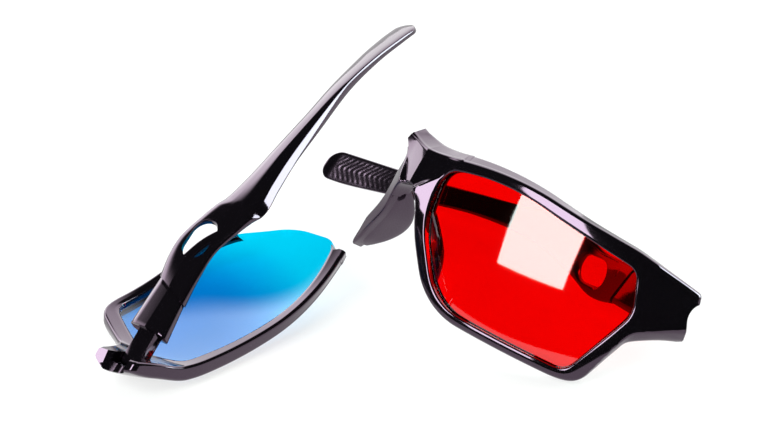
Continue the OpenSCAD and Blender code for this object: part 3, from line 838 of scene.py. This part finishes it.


# Tinted clear plastic with faint smears in its gloss; towards the table the tint turns deeper, which is
# painted shade standing in for the lens's tinted shadow on the table seen through it
def makeLensTint(side):
    tintAndShade = lensTintAndShade[side]
    finish, tree, output, place = startMaterial(side + "LensPlastic")
    smear = place.noise(60.0, 3.0)
    height = place.of(place.add("ShaderNodeSeparateXYZ", Vector=place), "Z")
    # painted shade: the tint darkens from high down to low, in place of the tinted shadow that the lens casts
    # on the table
    rise = (height + 0.002 * smear).fade(tintAndShade["low"], tintAndShade["high"])
    deep = place.of(place.add("ShaderNodeBsdfTransparent", Color=tintAndShade["deep"]))
    clear = place.of(place.add("ShaderNodeBsdfTransparent", Color=tintAndShade["clear"]))
    body = place.of(place.add("ShaderNodeMixShader", n0=rise, n1=deep, n2=clear))
    gloss = place.of(place.add("ShaderNodeBsdfGlossy", Roughness=0.02 + 0.03 * smear))
    facing = place.of(place.add("ShaderNodeLayerWeight"), "Facing")
    edge = 0.085 + 0.9 * place.maths("POWER", facing, 5.0)
    mix = place.add("ShaderNodeMixShader", n0=edge, n1=body, n2=gloss)
    tree.links.new(mix.outputs[0], output.inputs[0])
    return finish


def makeBrass():
    finish, tree, output, place = startMaterial("drawnBrass")
    grain = place.noise(900.0, 3.0)
    shader = place.add("ShaderNodeBsdfPrincipled", Metallic=1.0, Roughness=0.22 + 0.2 * grain)
    shader.inputs["Base Color"].default_value = (0.72, 0.55, 0.3, 1)
    tree.links.new(shader.outputs[0], output.inputs[0])
    return finish


redFront, cyanFront = buildFronts()
print("fronts", len(redFront.data.polygons), len(cyanFront.data.polygons))
pieces = {"left_front": redFront, "right_front": cyanFront}
for side, node in (("red", "left"), ("cyan", "right")):
    pieces[node + "_lens"] = buildLens(side)
    pieces[node + "_temple"] = buildTemple(side)
    pieces[node + "_hinge_block"] = buildBlock(side)
print("lenses, temples and hinge blocks", len(pieces))

black, brass = makeBlackPlastic(), makeBrass()
lensTintsAndShade = {"left": makeLensTint("red"), "right": makeLensTint("cyan")}
for node, piece in pieces.items():
    half = node.split("_")[0]
    isLens = node.endswith("lens")
    piece.data.materials.clear()
    piece.data.materials.append(lensTintsAndShade[half] if isLens else black)
    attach(piece, half + (" temple" if "temple" in node or "block" in node else " front half"))
    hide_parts(node)
for half in ("left", "right"):
    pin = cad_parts[half + "_hinge_pin"]
    pin.data.materials.clear()
    pin.data.materials.append(brass)
print("finishes", len(bpy.data.materials))

# Table and backdrop: white to the eye, with the object's shadow left in
table = dict(corners=((-1.5, -0.14), (1.5, 3.0)), shadow=0.28)


def makeTable():
    (left, near), (right, far) = table["corners"]
    corners = [(left, near, 0), (right, near, 0), (right, far, 0), (left, far, 0)]
    piece = newPiece("table", corners, [(0, 1, 2, 3)])
    finish, tree, output, place = startMaterial("tableWhite")
    diffuse = place.add("ShaderNodeBsdfDiffuse", Color=(0.92, 0.92, 0.92, 1))
    glow = place.add("ShaderNodeEmission", Color=(1, 1, 1, 1), Strength=1.0)
    path = tree.nodes.new("ShaderNodeLightPath")
    mirrored = place.maths("MAXIMUM", place.of(path, "Is Glossy Ray"), place.of(path, "Is Transmission Ray"))
    seen = place.maths("MAXIMUM", mirrored, (1 - table["shadow"]) * place.of(path, "Is Camera Ray"))
    mix = place.add("ShaderNodeMixShader", n0=seen, n1=place.of(diffuse), n2=place.of(glow))
    tree.links.new(mix.outputs[0], output.inputs[0])
    piece.data.materials.append(finish)


makeTable()


# Matrix of an object from its own three axes and its place
def placed(right, up, back, place):
    return Matrix([*zip(right, up, back, place), (0, 0, 0, 1)])


# Camera at the photograph's angle
view = dict(
    right=(0.99977, 0.00024, 0.02129), up=(-0.01831, 0.51964, 0.85419), back=(-0.01086, -0.85438, 0.51953),
    place=(-0.01008, -0.61627, 0.39529), lens=126.12,
)
camera = bpy.data.objects.new("camera", bpy.data.cameras.new("camera"))
bpy.context.scene.collection.objects.link(camera)
camera.matrix_world = placed(view["right"], view["up"], view["back"], view["place"])
camera.data.lens, camera.data.sensor_width, camera.data.sensor_fit = view["lens"], 36.0, "HORIZONTAL"
camera.data.clip_start, camera.data.clip_end = 0.01, 20.0
bpy.context.scene.camera = camera

# Soft boxes around the table, turned to it: bearing from the camera's side to the right, height angle,
# distance, width and height in metres, brightness, colour, and whether reflections show it
softBoxes = [
    dict(name="keyBox", bearing=-42.5, height=38, away=1.3,
         size=(0.63, 1.0), bright=12.0, colour=(0.94, 1, 0.96), shows=True),
    dict(name="sideBox", bearing=97, height=17, away=1.3,
         size=(0.48, 0.8), bright=15.0, colour=(0.75, 1, 0.88), shows=True),
    dict(name="fillBox", bearing=172, height=55, away=1.6,
         size=(1.6, 1.4), bright=2.2, colour=(1, 1, 1), shows=False),
]
for box in softBoxes:
    bearing, height = np.radians([box["bearing"], box["height"]])
    back = np.array([np.sin(bearing) * np.cos(height), -np.cos(bearing) * np.cos(height), np.sin(height)])
    right = np.cross((0, 0, 1), back) / np.cos(height)
    lamp = bpy.data.lights.new(box["name"], "AREA")
    lamp.shape, lamp.energy = "RECTANGLE", box["bright"] * np.pi * box["size"][0] * box["size"][1]
    lamp.size, lamp.size_y = box["size"]
    lamp.color = box["colour"]
    holder = bpy.data.objects.new(box["name"], lamp)
    bpy.context.scene.collection.objects.link(holder)
    holder.matrix_world = placed(right, np.cross(back, right), back, back * box["away"])
    holder.visible_camera, holder.visible_glossy = False, box["shows"]
print("lights", len(softBoxes))

# Room: white where it is seen; reflections show a white backdrop behind the table and a dark room in front
backdrop = dict(
    behind=(0.22, 0.36), aside=(-0.15, -0.5), below=(0.77, 0.6), droop=0.17,
    dark=0.004, bright=2.4, brighter=1.8,
)
room = bpy.data.worlds.new("room")
bpy.context.scene.world = room
room.use_nodes = True
roomTree = room.node_tree
roomTree.nodes.clear()
roomOut = roomTree.nodes.new("ShaderNodeOutputWorld")
path = roomTree.nodes.new("ShaderNodeLightPath")
seen = Value(roomTree, path.outputs["Is Camera Ray"])
way = seen.add("ShaderNodeSeparateXYZ", Vector=seen.of(seen.add("ShaderNodeTexCoord"), "Generated"))
behind = seen.of(way, "Y").fade(*backdrop["behind"])
aside = seen.of(way, "X").fade(*backdrop["aside"])
below = (seen.of(way, "Z") + backdrop["droop"] * aside).fade(*backdrop["below"])
light = backdrop["dark"] + (backdrop["bright"] + backdrop["brighter"] * aside) * behind * below
glow = seen.add("ShaderNodeBackground", Color=(1, 1, 1, 1), Strength=seen.maths("MAXIMUM", seen, light))
roomTree.links.new(glow.outputs[0], roomOut.inputs[0])

bpy.context.scene.view_settings.view_transform = "Standard"
